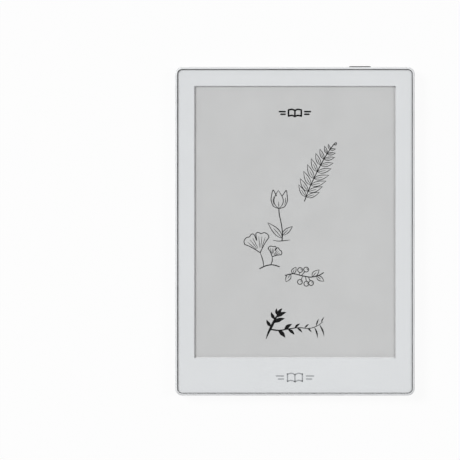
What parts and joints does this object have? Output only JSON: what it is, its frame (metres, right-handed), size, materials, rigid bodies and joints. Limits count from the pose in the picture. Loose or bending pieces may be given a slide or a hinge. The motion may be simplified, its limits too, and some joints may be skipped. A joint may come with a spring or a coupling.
{
  "type": "e-reader",
  "caption": "Slim white e-reader with a flush lens over a light grey screen, a sprung power key in the top edge and a charging port in the bottom edge.",
  "frame": {"origin": "centre of the rear face, which is the face the e-reader lies on", "axes": "+X to the right as the screen is read, +Y towards the top edge with the power key, +Z out of the screen"},
  "size_m": [0.108, 0.1485, 0.0068],
  "materials": {
    "white_shell": "fine moulded texture, matte white",
    "plate_metal": "stamped sheet, plain",
    "graphite": "laminated graphite sheet",
    "lens": "clear flat pane, fine anti-glare etch",
    "gasket": "dark foam adhesive",
    "border_white": "cool white print behind the lens",
    "clear_film": "clear optical film",
    "epaper": "light grey reflective film",
    "backplane": "thin glass with fine circuit",
    "chip_black": "moulded black epoxy",
    "tape": "double-sided foam tape",
    "flex_amber": "polyimide film over copper",
    "led_cool": "white package, cool phosphor",
    "led_warm": "white package, warm phosphor",
    "pouch_foil": "soft aluminium laminate pouch",
    "board_green": "solder mask over glass fibre board",
    "lead_red": "insulated lead",
    "lead_black": "insulated lead",
    "connector_ivory": "moulded connector plastic",
    "can_metal": "tinned steel, formed",
    "ceramic_tan": "sintered ceramic",
    "contact_gold": "gold-plated contact",
    "key_metal": "anodised, fine bead-blasted",
    "switch_grey": "moulded switch housing",
    "screw_steel": "dark plated steel"
  },
  "bodies": {
    "housing": {"rear_cover": "white_shell", "front_frame": "white_shell", "mid_plate": "plate_metal", "heat_sheet": "graphite", "cover_lens": "lens", "lens_gasket": "gasket", "border_print": "border_white", "lens_glue_film": "clear_film", "touch_sensor": "clear_film", "touch_glue_film": "clear_film", "light_guide": "clear_film", "guide_glue_film": "clear_film", "epaper_film": "epaper", "backplane_glass": "backplane", "driver_chips": "chip_black", "display_tape": "tape", "light_flex": "flex_amber", "cool_leds": "led_cool", "warm_leds": "led_warm", "display_flex": "flex_amber", "touch_flex": "flex_amber", "touch_chip": "chip_black", "battery_cell": "pouch_foil", "battery_board": "board_green", "battery_tape": "tape", "battery_lead_positive": "lead_red", "battery_lead_negative": "lead_black", "battery_plug": "connector_ivory", "battery_socket": "connector_ivory", "mainboard": "board_green", "shield_can": "can_metal", "processor": "chip_black", "memory_chip": "chip_black", "storage_chip": "chip_black", "power_chip": "chip_black", "display_power_chip": "chip_black", "wireless_module": "can_metal", "hall_sensor": "chip_black", "inductors": "chip_black", "capacitors": "ceramic_tan", "flex_connectors": "connector_ivory", "antenna": "flex_amber", "antenna_cable": "lead_black", "antenna_plug": "contact_gold", "usb_shell": "can_metal", "usb_tongue": "chip_black", "usb_contacts": "contact_gold", "card_shell": "can_metal", "card_base": "chip_black", "card_contacts": "contact_gold", "switch_body": "switch_grey", "button_bracket": "plate_metal", "button_flex": "flex_amber", "board_screws": "screw_steel", "bracket_screws": "screw_steel"},
    "key": {"power_button": "key_metal"},
    "plunger": {"switch_plunger": "connector_ivory"}
  },
  "joints": [
    {"name": "power_button_slide", "type": "slide", "parent": "housing", "child": "key", "axis": [0, -1, 0], "range_m": [0, 0.00025], "stiffness_N_per_m": 600, "springref_m": -0.0005},
    {"name": "switch_plunger_slide", "type": "slide", "parent": "housing", "child": "plunger", "axis": [0, -1, 0], "range_m": [0, 0.00025]}
  ],
  "couplings": [
    {"joint": "switch_plunger_slide", "follows": "power_button_slide", "ratio": 1}
  ]
}
